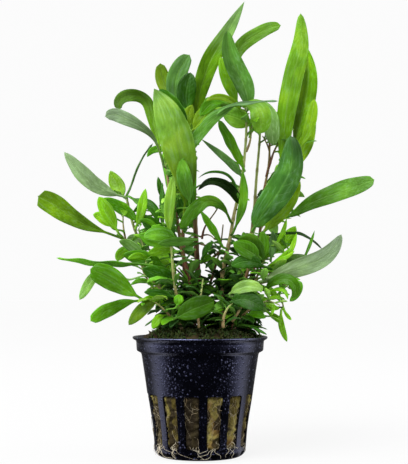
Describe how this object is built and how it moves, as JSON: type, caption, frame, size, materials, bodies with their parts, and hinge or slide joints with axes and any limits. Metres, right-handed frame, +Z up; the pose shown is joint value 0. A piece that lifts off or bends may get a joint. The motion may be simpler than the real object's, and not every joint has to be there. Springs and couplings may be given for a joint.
{
  "type": "potted hygrophila",
  "caption": "Aquarium plant with upright stems and lance-shaped green leaves, rooted in a rockwool plug in a black slotted net pot.",
  "frame": {"origin": "the middle of the pot's foot, on the surface that it stands on", "axes": "+Z up along the pot's axis, -Y towards the front of the plant as the picture shows it, +X to the right seen from the front"},
  "size_m": [0.1342, 0.0834, 0.1847],
  "materials": {
    "pot_plastic": "black, satin, faintly speckled with wet",
    "rockwool": "matted mineral fibre, olive and rusty, grown through with roots",
    "leaf_lime": "young leaf, thin, satin",
    "leaf_green": "grown leaf, satin",
    "leaf_dark": "shaded old leaf, satin",
    "leaf_pale": "grey-green underside of a leaf, dull",
    "stem_olive": "young stem, olive to tan",
    "stem_red_brown": "old stem, red-brown"
  },
  "bodies": {
    "root": {"leaf_back_left": "leaf_green", "leaf_back_low_left": "leaf_lime", "leaf_back_low_right": "leaf_green", "leaf_back_middle": "leaf_green", "leaf_back_right": "leaf_dark", "leaf_centre_arching": "leaf_lime", "leaf_centre_curled": "leaf_dark", "leaf_front_big": "leaf_lime", "leaf_front_dark": "leaf_green", "leaf_front_left_level": "leaf_green", "leaf_front_low_pale": "leaf_pale", "leaf_front_low_round": "leaf_green", "leaf_left_broad": "leaf_lime", "leaf_left_drooping": "leaf_pale", "leaf_left_edge_on": "leaf_green", "leaf_left_inner_upright": "leaf_dark", "leaf_left_level": "leaf_green", "leaf_left_low_lime": "leaf_lime", "leaf_left_lower_broad": "leaf_green", "leaf_left_lowest": "leaf_green", "leaf_left_middle_dark": "leaf_dark", "leaf_left_middle_green": "leaf_green", "leaf_left_pale": "leaf_pale", "leaf_left_shaded": "leaf_green", "leaf_right_behind_pale": "leaf_pale", "leaf_right_big": "leaf_green", "leaf_right_broad_dark": "leaf_dark", "leaf_right_edge_on": "leaf_dark", "leaf_right_lobed": "leaf_lime", "leaf_right_low_round": "leaf_green", "leaf_right_pale": "leaf_pale", "leaf_right_yellow": "leaf_lime", "leaf_sprig_left": "leaf_lime", "leaf_sprig_right": "leaf_lime", "leaf_tall_right": "leaf_lime", "leaf_tall_right_behind": "leaf_lime", "leaf_tallest": "leaf_lime", "leaf_top_arching": "leaf_lime", "leaf_top_front": "leaf_green", "leaf_top_left": "leaf_green", "leaf_top_right": "leaf_lime", "leaf_upper_drooping": "leaf_pale", "leaf_upper_left_arching": "leaf_lime", "leaf_upper_left_behind": "leaf_lime", "leaf_upper_left_grey_tip": "leaf_pale", "leaf_upper_long": "leaf_green", "net_pot": "pot_plastic", "rockwool_plug": "rockwool", "stem_back": "stem_red_brown", "stem_back_right": "stem_olive", "stem_front_left": "stem_red_brown", "stem_left": "stem_olive", "stem_left_upper": "stem_olive", "stem_middle": "stem_red_brown", "stem_olive": "stem_olive", "stem_pale_front": "stem_olive", "stem_right_brown": "stem_red_brown", "stem_right_low": "stem_red_brown", "stem_right_upright": "stem_olive", "stem_sprig": "stem_olive"}
  },
  "joints": []
}
